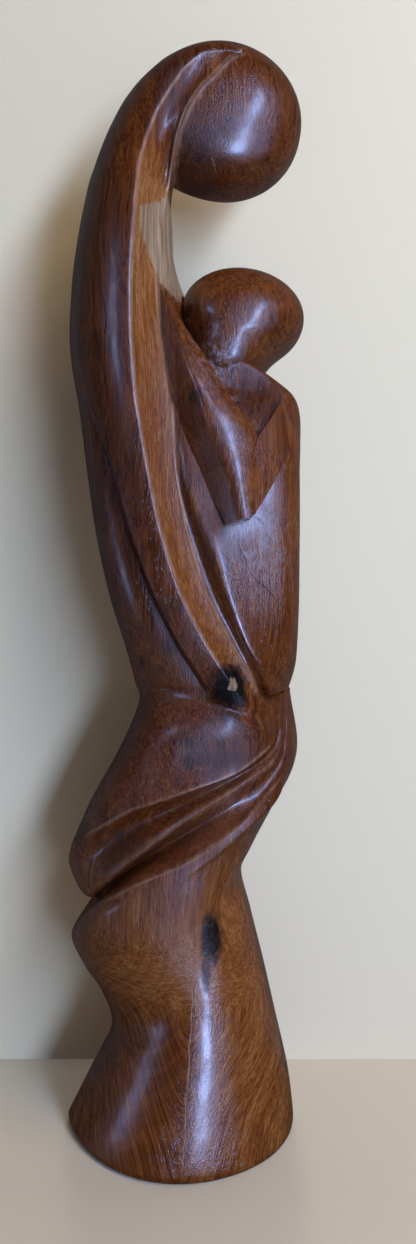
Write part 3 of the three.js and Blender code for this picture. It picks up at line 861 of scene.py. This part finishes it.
# Checks in the wood: start, end, half width, bow, and how dark. Two are filled with pale polish.
CHECKS = [
    ((-100, 694), (-93, 620), 0.7, 0, 0.9), ((-100, 253), (-84, 249), 0.8, 0.5, 0.9),
    ((-102, 180), (-95, 176), 0.8, 0, 0.9), ((58, 557), (71, 550), 1.3, 1, 0.95),
    ((52, 226), (95, 40), 1.1, 2, 0.5), ((44, 540), (96, 472), 1.6, -7, 0.35),
]
PALE_CHECKS = [((7.5, 156), (-2, 3), 0.8, 1.5), ((23, 882), (28, 873), 0.7, 1)]
CHECK_DARK, CHECK_PALE = (0.006, 0.003, 0.002, 1), (0.33, 0.23, 0.17, 1)
near_side = reach(node("SeparateXYZ", {0: place}, 1), 0.0, -0.004)
wavy = shifted(110.0, 3.0, 0.6, (0.004, 0.004, 0.004))
open_checks = 0.0
for *check, depth in CHECKS:
    open_checks = calc("MAXIMUM", open_checks, calc("MULTIPLY", seam(*check), depth))
pale_checks = 0.0
for check in PALE_CHECKS:
    pale_checks = calc("MAXIMUM", pale_checks, seam(*check))
stained = blended(open_checks, stained, CHECK_DARK)
stained = blended(calc("MULTIPLY", pale_checks, 0.7), stained, CHECK_PALE)
tree.links.new(blended(bare, stained, bare_colour), shader.inputs["Base Color"])

# The varnish lies unevenly, and thins out over knots, bare wood and dull patches.
dull_here = stored("dull")
polish = calc("MULTIPLY_ADD", fine, 0.08, calc("MULTIPLY_ADD", dull_here, 0.4, 0.16))
rough_bare = reach(bare, 0.0, 1.0, 0.0, 0.7)
tree.links.new(calc("MAXIMUM", polish, rough_bare), shader.inputs["Roughness"])
uneven = reach(clouds(place, 90.0, 3.0), 0.38, 0.6, 0.25, 0.55)
unpolished = calc("MAXIMUM", calc("MAXIMUM", bare, dark), dull_here)
coat = calc("MULTIPLY", uneven, reach(unpolished, 0.0, 1.0, 1.0, 0.0))
tree.links.new(coat, shader.inputs["Coat Weight"])
shader.inputs["Coat Roughness"].default_value = 0.19
shader.inputs["Specular IOR Level"].default_value = 0.38
shader.inputs["Coat IOR"].default_value = 1.5

# Sunk pores and raised grain, the varnish's fine peel, soft hollows left by the chisel, the
# scrapes, and the sunk checks, each with its weight.
height_here = calc("MULTIPLY", fine, 0.5)
for part, weight in (
    (pores, -0.6), (clouds(place, 1500.0, 2.0), 1.8), (clouds(place, 60.0, 2.0, 0.5), 5.0),
    (calc("MULTIPLY", scrapes, marks_and_glints_here), 9.0),
    (calc("MAXIMUM", open_checks, pale_checks), -3.0),
):
    height_here = calc("MULTIPLY_ADD", part, weight, height_here)
relief = node("Bump", {"Strength": 0.5, "Distance": 0.0002, "Height": height_here})
tree.links.new(relief, shader.inputs["Normal"])
joined.materials.clear()
joined.materials.append(wood)


# Floor and backdrop
# Plain cream cloth under the figure and hung close behind it. They aren't part of the figure.
CLOTH_IN_POLISH = 0.12


def sheet_of_cloth(name, corners, colour):
    """Flat rectangle of plain cloth, dimmer in reflections and clear when seen from its rear."""
    mesh = bpy.data.meshes.new(name)
    mesh.from_pydata(corners, [], [(0, 1, 2, 3)])
    made = bpy.data.objects.new(name, mesh)
    bpy.context.collection.objects.link(made)
    material = bpy.data.materials.new(name)
    material.use_nodes = True
    nodes, links = material.node_tree.nodes, material.node_tree.links
    tint = nodes.new("ShaderNodeMix")
    tint.data_type = "RGBA"
    tint.inputs[6].default_value = colour
    tint.inputs[7].default_value = (*(part * CLOTH_IN_POLISH for part in colour[:3]), 1)
    links.new(nodes.new("ShaderNodeLightPath").outputs["Is Glossy Ray"], tint.inputs[0])
    links.new(tint.outputs[2], nodes["Principled BSDF"].inputs["Base Color"])
    nodes["Principled BSDF"].inputs["Roughness"].default_value = 0.9
    front = nodes.new("ShaderNodeMath")
    front.operation = "SUBTRACT"
    front.inputs[0].default_value = 1
    links.new(nodes.new("ShaderNodeNewGeometry").outputs["Backfacing"], front.inputs[1])
    links.new(front.outputs[0], nodes["Principled BSDF"].inputs["Alpha"])
    mesh.materials.append(material)
    return made


# The backdrop hangs just behind the figure's far side.
WALL_AT = 0.054
floor = sheet_of_cloth(
    "floor", [(-3, -3, 0), (3, -3, 0), (3, 3, 0), (-3, 3, 0)], (0.58, 0.52, 0.44, 1))
backdrop = sheet_of_cloth(
    "backdrop", [(-1, WALL_AT, 0), (1, WALL_AT, 0), (1, WALL_AT, 1.6), (-1, WALL_AT, 1.6)],
    (0.68, 0.60, 0.46, 1))
# One lamp stands behind the backdrop and the ends of some lie below the floor, so neither cloth
# keeps light away.
backdrop.visible_shadow = False
floor.visible_glossy = False
floor.visible_shadow = False


# Light
# A bright strip of window leans away to the right of the camera. One lamp gives its light, and the
# strips named after it are only seen in the polish, as are two on the left of the room. The room
# gives back weak light from above and behind.
FIGURE_MIDDLE = Vector((0, 0, 0.25))
WINDOW_LIGHT, SKY_IN_POLISH = (0.54, 0.71, 1.0), (0.36, 0.52, 1.0)


def lamp(name, low_end, high_end, width, power, colour):
    """Rectangular lamp whose middle line joins two places, turned to face the figure."""
    low_end, high_end = Vector(low_end), Vector(high_end)
    upright = (high_end - low_end).normalized()
    back = (low_end + high_end) / 2 - FIGURE_MIDDLE
    back = (back - upright * back.dot(upright)).normalized()
    light = bpy.data.lights.new(name, "AREA")
    light.shape = "RECTANGLE"
    light.size, light.size_y = width, (high_end - low_end).length
    light.energy = power
    light.color = colour
    made = bpy.data.objects.new(name, light)
    axes = Matrix((upright.cross(back), upright, back)).transposed()
    made.matrix_world = Matrix.Translation((low_end + high_end) / 2) @ axes.to_4x4()
    bpy.context.collection.objects.link(made)
    return made


window = lamp("window", (0.36, -1.16, -0.02), (0.90, -0.82, 1.15), 0.2, 21, WINDOW_LIGHT)
window.visible_glossy = False
for name, low_end, high_end, width, power in (
    ("window_low", (0.40, -1.12, -0.29), (0.43, -1.10, 0.17), 0.25, 16),
    ("window_middle", (0.43, -1.10, 0.17), (0.50, -1.08, 0.80), 0.13, 9),
    ("window_top", (0.50, -1.08, 0.80), (0.68, -0.95, 1.22), 0.14, 8.5),
    ("room_left_low", (-1.08, -0.28, -0.08), (-1.08, -0.28, 0.12), 0.36, 1.1),
    ("room_left_high", (-0.84, -0.78, 0.62), (-0.74, -0.87, 0.86), 0.28, 2.2),
):
    seen_in_polish = lamp(name, low_end, high_end, width, power, SKY_IN_POLISH)
    seen_in_polish.visible_diffuse = False
room_above = lamp("room_above", (0.3, -0.7, 1.3), (0.7, -0.3, 1.3), 0.6, 7.5, (1.0, 0.77, 0.48))
room_above.visible_glossy = False
room_behind = lamp("room_behind", (0.0, 1.4, 0.2), (0.0, 1.4, 0.9), 0.3, 9, (1.0, 0.97, 0.92))
room_behind.visible_glossy = False

# The room's far side is dim, but it looks pale where the camera sees past the cloth.
room = bpy.data.worlds.new("room")
bpy.context.scene.world = room
room.use_nodes = True
seen = room.node_tree.nodes.new("ShaderNodeLightPath").outputs["Is Camera Ray"]
shown = room.node_tree.nodes.new("ShaderNodeMapRange")
shown.inputs["To Min"].default_value = 0.04
shown.inputs["To Max"].default_value = 0.6
background = room.node_tree.nodes["Background"]
background.inputs["Color"].default_value = (1, 0.88, 0.70, 1)
room.node_tree.links.new(seen, shown.inputs["Value"])
room.node_tree.links.new(shown.outputs[0], background.inputs["Strength"])
bpy.context.scene.view_settings.view_transform = "Standard"
